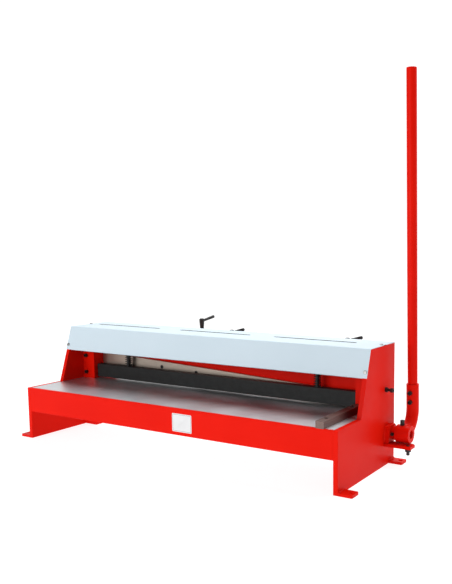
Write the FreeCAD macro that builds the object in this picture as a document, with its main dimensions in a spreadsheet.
# Bench guillotine shear with a side lever, a spring hold-down and a rear gauge.
# Millimetres. X runs along the blades, the lever is at +X, Y runs to the back, Z is up.
# Pieces are drawn from the front of the side plates (Y = 0) and the bench (Z = 0), and each is
# then placed so that the origin lies midway between the four foot holes, on the bench.

import FreeCAD, Part
import math
import os
import Sketcher

doc = FreeCAD.newDocument("bench_shear")

# Driving sizes, one plain number a cell.
SIZES = {
    # frame
    "overall_width": 1180,
    "plate_thickness": 14,
    "plate_depth": 360,
    "plate_height": 358,
    "table_height": 172,
    "slope_front": 135,
    "slope_back": 195,
    "edge_round": 1,
    "foot_reach": 42,
    "foot_width": 38,
    "foot_thickness": 8,
    "foot_corner": 2.5,
    "foot_hole_reach": 30,
    "foot_hole_radius": 6.5,
    "apron_thickness": 8,
    "apron_height": 80,
    "table_thickness": 15,
    "bed_beam_depth": 60,
    "bed_beam_height": 65,
    # blades
    "shear_line": 275,
    "blade_thickness": 12,
    "blade_height": 42,
    "lower_blade_height": 40,
    "blade_gap": 0.1,
    "blade_end_gap": 1,
    "blade_middle_rise": 22.6,
    "blade_rake": 2.7,
    "blade_screw_inset": 129,
    "blade_screw_pitch": 150,
    "blade_screw_drop": 19,
    "lower_screw_drop": 28,
    # guides
    "guide_width": 52,
    "guide_front": 232,
    "guide_top_gap": 13,
    "column_leg_depth": 22,
    "column_foot_height": 12,
    "web_width": 23,
    "gib_thickness": 3,
    "slide_clearance": 0.1,
    "rear_guide_depth": 35,
    "rear_guide_drop": 7,
    "guide_screw_offset": 16,
    "guide_screw_low": 21,
    "guide_screw_high": 80,
    "gib_screw_rise": 55,
    # knife beam
    "beam_thickness": 18,
    "beam_top_gap": 13,
    "beam_edge_setback": 4,
    "beam_step_gap": 0.5,
    "tongue_gap": 2,
    "beam_flange_depth": 25,
    "beam_flange_height": 15,
    "beam_flange_gap": 4,
    # hold-down
    "hold_down_front": 246,
    "hold_down_depth": 24,
    "hold_down_gap": 4.4,
    "hold_down_height": 46,
    "hold_down_end_gap": 2,
    "spring_inset": 141,
    "spring_radius": 10,
    "spring_wire": 3,
    "spring_pitch": 7.25,
    "spring_end_lead": 3.8,
    "spring_seat_gap": 0.35,
    "ledge_width": 40,
    "ledge_thickness": 10,
    "ledge_drop": 13,
    "ledge_reach": 42,
    "bolt_radius": 6,
    "bolt_head_radius": 9,
    "bolt_head_height": 10,
    "bolt_engagement": 24,
    "bolt_clearance": 0.3,
    # cover
    "sheet_thickness": 2,
    "cover_front_height": 78,
    "cover_lip": 10,
    "cover_lip_gap": 1,
    "bend_radius": 2,
    "slot_width": 12,
    "slot_place": 289,
    "slot_gap": 90,
    "slot_left_margin": 39,
    "slot_right_margin": 91,
    "cover_screw_drop": 62,
    "cover_screw_back": 80,
    # side gauge on the table
    "side_gauge_width": 25,
    "side_gauge_gap": 4,
    "side_gauge_height": 20,
    "side_gauge_screw_inset": 38,
    # torque shaft and cranks
    "shaft_depth": 325.5,
    "shaft_height": 95,
    "shaft_radius": 12.5,
    "running_clearance": 0.05,
    "press_clearance": 0.02,
    "bush_wall": 3.5,
    "bush_flange": 2,
    "bush_flange_rim": 4,
    "block_thickness": 13,
    "block_front": 289,
    "block_back": 355,
    "block_top": 120,
    "block_chamfer": 18,
    "crank_radius": 43.5,
    "crank_lift": 40,
    "crank_thickness": 16,
    "crank_big_end": 22,
    "crank_small_end": 12,
    "crank_gap": 4,
    "pin_radius": 6,
    "pin_overhang": 2,
    "pin_shoulder": 3,
    "pin_side_gap": 0.3,
    "roller_radius": 13,
    "roller_width": 14,
    # forks
    "fork_clearance": 1.3,
    "fork_end_clearance": 1,
    "fork_wall": 10,
    "fork_finger": 12,
    "fork_rear_clearance": 2,
    "fork_offset": 4,
    "fork_spine": 26,
    "fork_flange": 10,
    "fork_screw_inset": 6,
    "fork_screw_pitch": 13,
    # lever
    "collar_radius": 20.5,
    "collar_width": 11.5,
    "end_play": 0.5,
    "hub_gap": 1,
    "hub_radius": 26,
    "hub_length": 44,
    "shaft_recess": 12,
    "elbow_radius": 65,
    "socket_radius": 19,
    "socket_wall": 4,
    "socket_top": 136,
    "weld_gap": 0.1,
    "lever_wall": 3,
    "lever_top": 1042,
    "lever_lean": 2.4,
    "socket_screw_low": 84,
    "socket_screw_high": 112,
    "hub_screw_place": 16,
    "screw_flat_depth": 1,
    "screw_flat_ratio": 1.2,
    "lever_end_round": 1.5,
    # stop bracket
    "bracket_gap": 0.8,
    "bracket_thickness": 8,
    "bracket_length": 84,
    "bracket_front": 285,
    "bracket_depth": 42,
    "bracket_corner": 8,
    "stop_screw_inset": 12.5,
    "stop_screw_proud": 2,
    "stop_screw_length": 29,
    "stop_screw_radius": 5,
    "stop_nut_flats": 17,
    "stop_nut_thickness": 8,
    # rear gauge
    "rod_spacing": 516,
    "rod_radius": 10,
    "rod_drop": 8.5,
    "rod_end": 745,
    "rod_stud_radius": 7,
    "rod_stud_depth": 14,
    "rod_nut_thickness": 8,
    "rod_nut_rim": 4,
    "scale_rod_place": 407,
    "scale_rod_radius": 8,
    "scale_rod_rise": 30,
    "scale_stud_radius": 6,
    "gauge_place": 697,
    "gauge_length": 860,
    "gauge_drop": 62,
    "gauge_thickness": 6,
    "slider_size": 40,
    "scale_block_height": 78,
    "gauge_screw_spread": 12,
    # clamp levers
    "clamp_foot_radius": 7.5,
    "clamp_head_radius": 9.5,
    "clamp_height": 40,
    "clamp_crown": 2,
    "clamp_arm_length": 62,
    "clamp_arm_radius": 5,
    "clamp_tip_radius": 6.5,
    "clamp_arm_rise": 14,
    "clamp_arm_drop": 9,
    "clamp_stud_radius": 4,
    "clamp_stud_gap": 0.5,
    "scale_clamp_turn": 73,
    # fasteners
    "thread_clearance": 0.05,
    "screw_radius": 4,
    "screw_head_radius": 6.5,
    "screw_head_height": 8,
    "screw_socket_radius": 3.5,
    "screw_socket_depth": 4,
    "screw_tip_gap": 1,
    "small_thread_depth": 14,
    "fork_thread_depth": 20,
    "gauge_thread_depth": 9,
    "nut_spacing": 10,
    "head_clearance": 0.3,
    "nut_flats": 13,
    "nut_thickness": 6.5,
    "small_screw_radius": 3,
    "small_head_radius": 5,
    "small_head_height": 5,
    "small_socket_radius": 2.3,
    "small_socket_depth": 2.5,
    "pan_head_radius": 5.5,
    "pan_head_height": 3,
    "pan_head_round": 1.5,
    "cross_length": 5.6,
    "cross_width": 1.1,
    "cross_depth": 1.4,
}

sheet = doc.addObject("Spreadsheet::Sheet", "sizes")
for row, (alias, value) in enumerate(SIZES.items(), start=1):
    sheet.set(f"A{row}", alias)
    sheet.set(f"B{row}", str(value))
    sheet.setAlias(f"B{row}", alias)
doc.recompute()

# Places worked out from the driving sizes, as expressions over the sheet.
HALF = "(sizes.overall_width / 2)"
PLATE_INSIDE = f"({HALF} - sizes.plate_thickness)"
GUIDE_INSIDE = f"({PLATE_INSIDE} - sizes.guide_width)"
BLADE_END = f"({GUIDE_INSIDE} - sizes.blade_end_gap)"
GUIDE_TOP = "(sizes.plate_height - sizes.guide_top_gap)"
BEAM_TOP = "(sizes.plate_height - sizes.beam_top_gap)"
TABLE_BACK = "(sizes.shear_line - sizes.blade_thickness)"
BLADE_FRONT = "(sizes.shear_line + sizes.blade_gap)"
BEAM_FRONT = f"({BLADE_FRONT} + sizes.blade_thickness)"
BEAM_BACK = f"({BEAM_FRONT} + sizes.beam_thickness)"
BEAM_MIDDLE = f"({BEAM_FRONT} + sizes.beam_thickness / 2)"
COLUMN_BACK = f"({BEAM_FRONT} - sizes.slide_clearance)"
REAR_GUIDE_FRONT = f"({BEAM_BACK} + sizes.slide_clearance)"
REAR_GUIDE_BACK = f"({REAR_GUIDE_FRONT} + sizes.rear_guide_depth)"
WEB_INSIDE = f"({PLATE_INSIDE} - sizes.web_width)"
TONGUE_END = f"({WEB_INSIDE} - sizes.gib_thickness - sizes.slide_clearance)"
TONGUE_BOTTOM = "(sizes.table_height - sizes.tongue_gap)"
HOLD_DOWN_BOTTOM = "(sizes.table_height + sizes.hold_down_gap)"
HOLD_DOWN_TOP = f"({HOLD_DOWN_BOTTOM} + sizes.hold_down_height)"
SPRING_X = f"({GUIDE_INSIDE} - sizes.spring_inset)"
SPRING_Y = "(sizes.hold_down_front + sizes.hold_down_depth / 2)"
LEDGE_TOP = f"({BEAM_TOP} - sizes.ledge_drop)"
LEDGE_BOTTOM = f"({LEDGE_TOP} - sizes.ledge_thickness)"
SPRING_HEIGHT = f"({LEDGE_BOTTOM} - {HOLD_DOWN_TOP})"
ROD_HEIGHT = f"((sizes.table_height + {BEAM_TOP}) / 2 - sizes.rod_drop)"
SCALE_ROD_HEIGHT = f"({ROD_HEIGHT} + sizes.scale_rod_rise)"
GIB_SCREW_HEIGHT = "(sizes.table_height + sizes.gib_screw_rise)"
COVER_BOTTOM = "(sizes.plate_height - sizes.cover_front_height)"
COVER_SCREW_HEIGHT = "(sizes.plate_height - sizes.cover_screw_drop)"
PIN_Y = "(sizes.shaft_depth - sizes.crank_radius * cos(sizes.crank_lift))"
PIN_Z = "(sizes.shaft_height + sizes.crank_radius * sin(sizes.crank_lift))"
CRANK_OUTSIDE = f"({GUIDE_INSIDE} - sizes.crank_gap)"
FORK_INSIDE = f"({GUIDE_INSIDE} + sizes.fork_offset)"
FORK_OUTSIDE = f"({FORK_INSIDE} + sizes.roller_width)"
BLOCK_OUTSIDE = f"({HALF} + sizes.block_thickness)"
COLLAR_INSIDE = f"({BLOCK_OUTSIDE} + sizes.end_play)"
COLLAR_OUTSIDE = f"({COLLAR_INSIDE} + sizes.collar_width)"
HUB_INSIDE = f"({COLLAR_OUTSIDE} + sizes.hub_gap)"
HUB_OUTSIDE = f"({HUB_INSIDE} + sizes.hub_length)"
LEVER_X = f"({HUB_INSIDE} + sizes.hub_length / 2)"
BUSH_RADIUS = "(sizes.shaft_radius + sizes.running_clearance + sizes.bush_wall)"
BRACKET_TOP = "(sizes.shaft_height - sizes.hub_radius - sizes.bracket_gap)"
SLOPE_ANGLE = ("atan((sizes.plate_height - sizes.table_height)"
               " / (sizes.slope_back - sizes.slope_front))")
SLIDER_BOTTOM = f"({ROD_HEIGHT} - sizes.slider_size / 2)"
SIDE_GAUGE_BACK = "(sizes.guide_front - sizes.side_gauge_gap)"
LEVER_Y = "(sizes.shaft_depth + sizes.elbow_radius)"
LEVER_RADIUS = "(sizes.socket_radius - sizes.socket_wall - sizes.running_clearance)"

RIGHT, LEFT = 1, -1
TURNS = {
    "+Z": FreeCAD.Rotation(),
    "-Z": FreeCAD.Rotation(FreeCAD.Vector(1, 0, 0), 180),
    "+Y": FreeCAD.Rotation(FreeCAD.Vector(1, 0, 0), -90),
    "-Y": FreeCAD.Rotation(FreeCAD.Vector(1, 0, 0), 90),
    "+X": FreeCAD.Rotation(FreeCAD.Vector(0, 1, 0), 90),
    "-X": FreeCAD.Rotation(FreeCAD.Vector(0, 1, 0), -90),
}
nodes = []
mirrored_nodes = []
leaning_nodes = []
placed_y = {}


def number(expression):
    """The value of an expression over the sheet."""
    return float(sheet.evalExpression(str(expression)))


def signed(side, expression):
    """The expression on the right side, or its mirror image on the left side."""
    return f"({expression})" if side == RIGHT else f"(-({expression}))"


def place(piece, at, direction="+Z"):
    """Bind a piece's place to the sheet and point its own Z axis along a direction."""
    piece.Placement = FreeCAD.Placement(FreeCAD.Vector(), TURNS[direction])
    for axis, expression in zip("xyz", at):
        piece.setExpression(f".Placement.Base.{axis}", str(expression))
    placed_y[piece.Name] = at[1]
    return piece


def box(name, low, high):
    """A block between two corners."""
    block = doc.addObject("Part::Box", name)
    for side, start, end in zip(("Length", "Width", "Height"), low, high):
        block.setExpression(side, f"({end}) - ({start})")
    return place(block, low)


def cylinder(name, at, direction, radius, length):
    """A round bar that starts at a point and runs along a direction."""
    bar = doc.addObject("Part::Cylinder", name)
    bar.setExpression("Radius", str(radius))
    bar.setExpression("Height", str(length))
    return place(bar, at, direction)


def hexagon(name, at, direction, flats, length):
    """A six-sided bar with a given size across its flats."""
    bar = doc.addObject("Part::Prism", name)
    bar.Polygon = 6
    bar.setExpression("Circumradius", f"({flats}) / (2 * cos(30))")
    bar.setExpression("Height", str(length))
    return place(bar, at, direction)


def fused(name, pieces):
    whole = doc.addObject("Part::MultiFuse", name)
    whole.Shapes = pieces
    whole.Refine = True
    return whole


def grouped(name, pieces):
    """Separate solids kept together in one sub-part."""
    group = doc.addObject("Part::Compound", name)
    group.Links = pieces
    return group


def cut(name, base, tools):
    """A base with one or more tools taken away."""
    result = doc.addObject("Part::Cut", name)
    result.Base = base
    result.Tool = tools[0] if len(tools) == 1 else fused(f"{name}_tools", tools)
    result.Refine = True
    return result


def mirrored(name, source):
    """The same piece on the other side of the middle."""
    image = doc.addObject("Part::Mirroring", name)
    image.Source = source
    image.Normal = FreeCAD.Vector(1, 0, 0)
    return image


def node(label, piece):
    """Give a finished sub-part its label and put it on the list."""
    piece.Label = label
    nodes.append(piece)
    return piece


def mirrored_node(label, source):
    image = node(label, mirrored(label, source))
    mirrored_nodes.append(image)
    return image


def draw(body, name, plane_role, start, outline, holes=()):
    """A sketch on one of the body's origin planes: a closed outline and round holes."""
    plane = [item for item in body.Origin.OriginFeatures if item.Role == plane_role][0]
    sketch = body.newObject("Sketcher::SketchObject", name)
    sketch.AttachmentSupport = (plane, [""])
    sketch.MapMode = "FlatFace"
    sketch.setExpression(".AttachmentOffset.Base.z", str(start))
    corners = [FreeCAD.Vector(number(u), number(v), 0) for u, v in outline]
    count = len(corners)
    for index in range(count):
        sketch.addGeometry(Part.LineSegment(corners[index], corners[(index + 1) % count]))
    for index in range(count):
        sketch.addConstraint(Sketcher.Constraint("Coincident", index, 2, (index + 1) % count, 1))
    for index, corner in enumerate(outline):
        dimension(sketch, index, 1, corner)
    for index, (u, v, radius) in enumerate(holes, start=count):
        centre = FreeCAD.Vector(number(u), number(v), 0)
        sketch.addGeometry(Part.Circle(centre, FreeCAD.Vector(0, 0, 1), number(radius)))
        dimension(sketch, index, 3, (u, v))
        place_in_list = sketch.addConstraint(Sketcher.Constraint("Radius", index, number(radius)))
        sketch.setExpression(f"Constraints[{place_in_list}]", str(radius))
    return sketch


def dimension(sketch, index, point, place_on_sheet):
    """Dimension one point of a sketch from the sketch's origin, both ways."""
    for kind, expression in zip(("DistanceX", "DistanceY"), place_on_sheet):
        value = number(expression)
        constraint = Sketcher.Constraint(kind, -1, 1, index, point, value)
        place_in_list = sketch.addConstraint(constraint)
        sketch.setExpression(f"Constraints[{place_in_list}]", str(expression))


def padded(name, plane_role, start, thickness, outline, holes=()):
    """A body made by drawing an outline and giving it thickness."""
    body = doc.addObject("PartDesign::Body", name)
    if plane_role == "XZ_Plane":
        # This plane looks forward, so the sketch lies on the far face.
        start = f"-({start} + {thickness})"
    sketch = draw(body, f"{name}_outline", plane_role, start, outline, holes)
    pad = body.newObject("PartDesign::Pad", f"{name}_pad")
    pad.Profile = sketch
    pad.setExpression("Length", str(thickness))
    return body


def turned(name, outline, at, direction):
    """A body turned from a half outline of (radius, height) points, around its own Z axis."""
    body = doc.addObject("PartDesign::Body", name)
    sketch = draw(body, f"{name}_outline", "XZ_Plane", 0, outline)
    turning = body.newObject("PartDesign::Revolution", f"{name}_turning")
    turning.Profile = sketch
    turning.ReferenceAxis = (sketch, ["V_Axis"])
    turning.Angle = 360
    return place(body, at, direction)


def rounded(name, base, radius, wanted):
    """A base with the wanted edges rounded."""
    doc.recompute()
    result = doc.addObject("Part::Fillet", name)
    result.Base = base
    size = number(radius)
    edges = base.Shape.Edges
    result.Edges = [(index, size, size) for index, edge in enumerate(edges, start=1) if wanted(edge)]
    return result


def runs_along(edge, direction):
    """Whether an edge is straight and parallel to an axis."""
    if edge.Curve.TypeId != "Part::GeomLine":
        return False
    return abs(edge.Curve.Direction.dot(direction)) > 0.999


ALONG_X = FreeCAD.Vector(1, 0, 0)
ALONG_Y = FreeCAD.Vector(0, 1, 0)
ALONG_Z = FreeCAD.Vector(0, 0, 1)


def socket_screw(name, at, direction, length, small=False):
    """A cap screw: its head stands on the point, its shank runs along the direction."""
    kind = "small_" if small else "screw_"
    shank_radius = "sizes.small_screw_radius" if small else "sizes.screw_radius"
    head_height = f"sizes.{kind}head_height"
    head = cylinder(f"{name}_head", (0, 0, f"-{head_height}"), "+Z",
                    f"sizes.{kind}head_radius", head_height)
    shank = cylinder(f"{name}_shank", (0, 0, 0), "+Z", shank_radius, length)
    socket = hexagon(f"{name}_socket", (0, 0, f"-{head_height}"), "+Z",
                     f"sizes.{kind}socket_radius * 2", f"sizes.{kind}socket_depth")
    return place(cut(name, fused(f"{name}_blank", [head, shank]), [socket]), at, direction)


def pan_screw(name, at, direction, length):
    """A small screw with a low round head and a crossed recess, placed as a cap screw is."""
    top = "sizes.pan_head_height"
    head = cylinder(f"{name}_head", (0, 0, f"-{top}"), "+Z", "sizes.pan_head_radius", top)
    head = rounded(f"{name}_head_rounded", head, "sizes.pan_head_round",
                   lambda edge: edge.Curve.TypeId == "Part::GeomCircle" and edge.CenterOfMass.z < -1)
    shank = cylinder(f"{name}_shank", (0, 0, 0), "+Z", "sizes.small_screw_radius", length)
    long, wide = "sizes.cross_length / 2", "sizes.cross_width / 2"
    cross = [box(f"{name}_cross_{index}", (f"-{x}", f"-{y}", f"-{top}"),
                 (x, y, f"-{top} + sizes.cross_depth"))
             for index, (x, y) in enumerate(((long, wide), (wide, long)))]
    return place(cut(name, fused(f"{name}_blank", [head, shank]), cross), at, direction)


def tapped(name, at, direction, depth, radius="sizes.screw_radius"):
    """The hole that a screw's shank goes into."""
    return cylinder(name, at, direction, f"{radius} + sizes.thread_clearance", depth)


def nut(name, at, direction, flats, thickness, bore):
    blank = hexagon(f"{name}_blank", (0, 0, 0), "+Z", flats, thickness)
    hole = cylinder(f"{name}_bore", (0, 0, 0), "+Z", f"{bore} + sizes.thread_clearance", thickness)
    return place(cut(name, blank, [hole]), at, direction)


# Frame: side plates, feet, apron, table and bed beam, all welded.

def slope_point(rise):
    """A point of the plates' sloping edge at a given height."""
    run = f"((({rise}) - sizes.table_height) / tan({SLOPE_ANGLE}))"
    return f"(sizes.slope_front + {run})", rise


def square_to_slope(piece):
    """Turn a piece that points down so that it points into the sloping edge."""
    piece.Placement = FreeCAD.Placement(piece.Placement.Base, TURNS["-Z"])
    piece.setExpression(".Placement.Rotation.Angle", f"180 deg + {SLOPE_ANGLE}")
    return piece


COVER_SCREW_X = f"({HALF} - sizes.plate_thickness / 2)"
COVER_SCREW_TOP_Y = "(sizes.plate_depth - sizes.cover_screw_back)"


def at_cover_bend(edge):
    """Whether an edge runs along X through the corner that the cover bends over."""
    middle = edge.CenterOfMass
    off_y = middle.y - number("sizes.slope_back")
    off_z = middle.z - number("sizes.plate_height")
    return runs_along(edge, ALONG_X) and math.hypot(off_y, off_z) < number("2 * sizes.sheet_thickness")


def is_hole(edge):
    """Whether an edge is a full circle."""
    return edge.Curve.TypeId == "Part::GeomCircle" and edge.isClosed()


def side_plate():
    outline = [
        (0, 0),
        ("sizes.plate_depth", 0),
        ("sizes.plate_depth", "sizes.plate_height"),
        ("sizes.slope_back", "sizes.plate_height"),
        ("sizes.slope_front", "sizes.table_height"),
        (0, "sizes.table_height"),
    ]
    bush_seat = ("sizes.shaft_depth", "sizes.shaft_height", f"{BUSH_RADIUS} + sizes.press_clearance")
    gib_hole = (BEAM_MIDDLE, GIB_SCREW_HEIGHT, "sizes.screw_radius + sizes.thread_clearance")
    plate = padded("side_plate", "YZ_Plane", PLATE_INSIDE, "sizes.plate_thickness", outline,
                   [bush_seat, gib_hole])
    plate = rounded("side_plate_corner", plate, "sizes.bend_radius + 1", at_cover_bend)
    plate = rounded("side_plate_edges", plate, "sizes.edge_round",
                    lambda edge: not runs_along(edge, ALONG_X) and not is_hole(edge))
    radius = "sizes.small_screw_radius"
    depth = "(sizes.sheet_thickness + sizes.small_thread_depth)"
    top = tapped("cover_thread_top", (COVER_SCREW_X, COVER_SCREW_TOP_Y, "sizes.plate_height"),
                 "-Z", depth, radius)
    front_y, front_z = slope_point(COVER_SCREW_HEIGHT)
    front = tapped("cover_thread_front", (COVER_SCREW_X, front_y, front_z), "-Z", depth, radius)
    return cut("right_side_plate", plate, [top, square_to_slope(front)])


def foot(name, side, low, high):
    outside = f"({HALF} + sizes.foot_reach)"
    corner = "sizes.foot_corner"
    outline = [
        (signed(side, HALF), low),
        (signed(side, f"{outside} - {corner}"), low),
        (signed(side, outside), f"{low} + {corner}"),
        (signed(side, outside), f"{high} - {corner}"),
        (signed(side, f"{outside} - {corner}"), high),
        (signed(side, HALF), high),
    ]
    hole = (signed(side, f"{HALF} + sizes.foot_hole_reach"), f"({low} + {high}) / 2",
            "sizes.foot_hole_radius")
    return padded(name, "XY_Plane", 0, "sizes.foot_thickness", outline, [hole])


def foot_tabs():
    ends = {"front": ("0", "sizes.foot_width"),
            "rear": ("(sizes.plate_depth - sizes.foot_width)", "sizes.plate_depth")}
    return grouped("foot_tabs", [foot(f"{end}_foot_{side}", side, low, high)
                                 for end, (low, high) in ends.items() for side in (RIGHT, LEFT)])


def front_apron():
    apron = box("apron_blank",
                (f"-{PLATE_INSIDE}", 0, "sizes.table_height - sizes.apron_height"),
                (PLATE_INSIDE, "sizes.apron_thickness", "sizes.table_height"))
    return rounded("front_apron", apron, "sizes.edge_round", lambda edge: runs_along(edge, ALONG_X))


def side_gauge_screw_places():
    x = f"({GUIDE_INSIDE} + sizes.side_gauge_width / 2)"
    return [(x, "sizes.side_gauge_screw_inset"), (x, f"({SIDE_GAUGE_BACK} - sizes.side_gauge_screw_inset)")]


def table_plate():
    outline = [
        (f"-{PLATE_INSIDE}", "sizes.apron_thickness"),
        (PLATE_INSIDE, "sizes.apron_thickness"),
        (PLATE_INSIDE, "sizes.guide_front"),
        (GUIDE_INSIDE, "sizes.guide_front"),
        (GUIDE_INSIDE, TABLE_BACK),
        (f"-{GUIDE_INSIDE}", TABLE_BACK),
        (f"-{GUIDE_INSIDE}", "sizes.guide_front"),
        (f"-{PLATE_INSIDE}", "sizes.guide_front"),
    ]
    holes = [(x, y, "sizes.screw_radius + sizes.thread_clearance") for x, y in side_gauge_screw_places()]
    return padded("table_plate", "XY_Plane", "sizes.table_height - sizes.table_thickness",
                  "sizes.table_thickness", outline, holes)


def blade_screw_places():
    """X of each blade screw: a steady pitch from the left end, as many as the blade holds."""
    room = 2 * number(BLADE_END) - number("sizes.blade_screw_inset + 2 * sizes.screw_head_radius")
    count = math.floor(room / number("sizes.blade_screw_pitch")) + 1
    start = f"(sizes.blade_screw_inset - {BLADE_END})"
    return [f"({start} + {index} * sizes.blade_screw_pitch)" for index in range(count)]


LOWER_SCREW_Z = "(sizes.table_height - sizes.lower_screw_drop)"
BEAM_THREAD_DEPTH = "(sizes.beam_thickness - 2)"
HEAD_SEAT = "(sizes.screw_head_height + sizes.head_clearance)"
BLADE_SCREW_LENGTH = f"(sizes.blade_thickness - {HEAD_SEAT} + {BEAM_THREAD_DEPTH} - sizes.screw_tip_gap)"


def bed_beam():
    bottom = "(sizes.table_height - sizes.table_thickness - sizes.bed_beam_height)"
    beam = box("bed_beam_blank",
               (f"-{GUIDE_INSIDE}", f"{TABLE_BACK} - sizes.bed_beam_depth", bottom),
               (GUIDE_INSIDE, TABLE_BACK, "sizes.table_height - sizes.table_thickness"))
    threads = [tapped(f"bed_thread_{index}", (x, TABLE_BACK, LOWER_SCREW_Z), "-Y", BEAM_THREAD_DEPTH)
               for index, x in enumerate(blade_screw_places())]
    return cut("bed_beam", beam, threads)


# Blades and their screws, whose heads lie below the blades' faces.

def screw_seat(name, at, direction, thickness):
    """A counterbored hole through a plate, as a tool to cut with."""
    through = tapped(f"{name}_through", at, direction, thickness)
    seat = cylinder(f"{name}_seat", at, direction, "sizes.screw_head_radius + sizes.head_clearance",
                    HEAD_SEAT)
    return fused(name, [through, seat])


def lower_blade():
    blade = box("lower_blade_blank",
                (f"-{BLADE_END}", TABLE_BACK, "sizes.table_height - sizes.lower_blade_height"),
                (BLADE_END, "sizes.shear_line", "sizes.table_height"))
    seats = [screw_seat(f"lower_seat_{index}", (x, "sizes.shear_line", LOWER_SCREW_Z), "-Y",
                        "sizes.blade_thickness")
             for index, x in enumerate(blade_screw_places())]
    return cut("lower_blade", blade, seats)


def lower_blade_screws():
    y = f"(sizes.shear_line - {HEAD_SEAT})"
    return grouped("lower_blade_screws", [
        socket_screw(f"lower_screw_{index}", (x, y, LOWER_SCREW_Z), "-Y", BLADE_SCREW_LENGTH)
        for index, x in enumerate(blade_screw_places())])


def cutting_edge(x):
    """Height of the upper blade's edge, which slopes down to the right."""
    return f"(sizes.table_height + sizes.blade_middle_rise - ({x}) * tan(sizes.blade_rake))"


def upper_screw_height(x):
    return f"({cutting_edge(x)} + sizes.blade_height - sizes.blade_screw_drop)"


def upper_blade():
    left, right = f"-{BLADE_END}", BLADE_END
    outline = [
        (left, cutting_edge(left)),
        (right, cutting_edge(right)),
        (right, f"{cutting_edge(right)} + sizes.blade_height"),
        (left, f"{cutting_edge(left)} + sizes.blade_height"),
    ]
    blade = padded("upper_blade_blank", "XZ_Plane", BLADE_FRONT, "sizes.blade_thickness", outline)
    seats = [screw_seat(f"upper_seat_{index}", (x, BLADE_FRONT, upper_screw_height(x)), "+Y",
                        "sizes.blade_thickness")
             for index, x in enumerate(blade_screw_places())]
    return cut("upper_blade", blade, seats)


def upper_blade_screws():
    y = f"({BLADE_FRONT} + {HEAD_SEAT})"
    return grouped("upper_blade_screws", [
        socket_screw(f"upper_screw_{index}", (x, y, upper_screw_height(x)), "+Y", BLADE_SCREW_LENGTH)
        for index, x in enumerate(blade_screw_places())])


# Guides: a column in front of the beam's tongue and a rear guide behind it, with a gib between.

GUIDE_SCREW_X = f"({PLATE_INSIDE} - sizes.guide_screw_offset)"
GUIDE_SCREW_HEIGHTS = [f"(sizes.table_height + {rise})"
                       for rise in ("sizes.guide_screw_low", "sizes.guide_screw_high")]
REAR_THREAD_DEPTH = "(sizes.rear_guide_depth - 8)"


def guide_column():
    leg_back = "(sizes.guide_front + sizes.column_leg_depth)"
    outline = [
        ("sizes.guide_front", 0),
        (REAR_GUIDE_BACK, 0),
        (REAR_GUIDE_BACK, "sizes.column_foot_height"),
        (leg_back, "sizes.column_foot_height"),
        (leg_back, "sizes.table_height"),
        (COLUMN_BACK, "sizes.table_height"),
        (COLUMN_BACK, GUIDE_TOP),
        ("sizes.guide_front", GUIDE_TOP),
    ]
    column = padded("column_blank", "YZ_Plane", GUIDE_INSIDE, "sizes.guide_width", outline)
    web = box("column_web",
              (WEB_INSIDE, COLUMN_BACK, "sizes.table_height"),
              (PLATE_INSIDE, REAR_GUIDE_FRONT, GUIDE_TOP))
    holes = [tapped(f"column_hole_{index}", (GUIDE_SCREW_X, "sizes.guide_front", z), "+Y",
                    f"{REAR_GUIDE_FRONT} - sizes.guide_front")
             for index, z in enumerate(GUIDE_SCREW_HEIGHTS)]
    gib_hole = tapped("web_thread", (WEB_INSIDE, BEAM_MIDDLE, GIB_SCREW_HEIGHT), "+X",
                      "sizes.web_width")
    return cut("right_guide_column", fused("column_body", [column, web]), holes + [gib_hole])


def rear_guide():
    guide = box("rear_guide_blank",
                (GUIDE_INSIDE, REAR_GUIDE_FRONT, "sizes.table_height - sizes.rear_guide_drop"),
                (PLATE_INSIDE, REAR_GUIDE_BACK, GUIDE_TOP))
    threads = [tapped(f"rear_guide_thread_{index}", (GUIDE_SCREW_X, REAR_GUIDE_FRONT, z), "+Y",
                      REAR_THREAD_DEPTH)
               for index, z in enumerate(GUIDE_SCREW_HEIGHTS)]
    return cut("right_rear_guide", guide, threads)


def guide_screws():
    length = f"({REAR_GUIDE_FRONT} - sizes.guide_front + {REAR_THREAD_DEPTH} - sizes.screw_tip_gap)"
    return grouped("guide_screws", [
        socket_screw(f"guide_screw_{side}_{index}",
                     (signed(side, GUIDE_SCREW_X), "sizes.guide_front", z), "+Y", length)
        for side in (RIGHT, LEFT) for index, z in enumerate(GUIDE_SCREW_HEIGHTS)])


def side_gibs():
    gibs = []
    for side in (RIGHT, LEFT):
        near = f"({WEB_INSIDE} - sizes.gib_thickness)"
        low, high = (near, WEB_INSIDE) if side == RIGHT else (f"-{WEB_INSIDE}", f"-{near}")
        gibs.append(box(f"gib_{side}",
                        (low, COLUMN_BACK, "sizes.table_height"),
                        (high, REAR_GUIDE_FRONT, GUIDE_TOP)))
    return grouped("side_gibs", gibs)


GIB_SCREW_HEAD_X = f"({HALF} + sizes.nut_thickness + sizes.nut_spacing)"


def gib_screws():
    length = f"({GIB_SCREW_HEAD_X} - {WEB_INSIDE})"
    return grouped("gib_screws", [
        socket_screw(f"gib_screw_{side}",
                     (signed(side, GIB_SCREW_HEAD_X), BEAM_MIDDLE, GIB_SCREW_HEIGHT),
                     "-X" if side == RIGHT else "+X", length)
        for side in (RIGHT, LEFT)])


def gib_lock_nuts():
    return grouped("gib_lock_nuts", [
        nut(f"gib_nut_{side}", (signed(side, HALF), BEAM_MIDDLE, GIB_SCREW_HEIGHT),
            "+X" if side == RIGHT else "-X", "sizes.nut_flats", "sizes.nut_thickness",
            "sizes.screw_radius")
        for side in (RIGHT, LEFT)])


# Knife beam: a plate with a tongue in each guide and a stiffening flange along its top.

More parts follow.
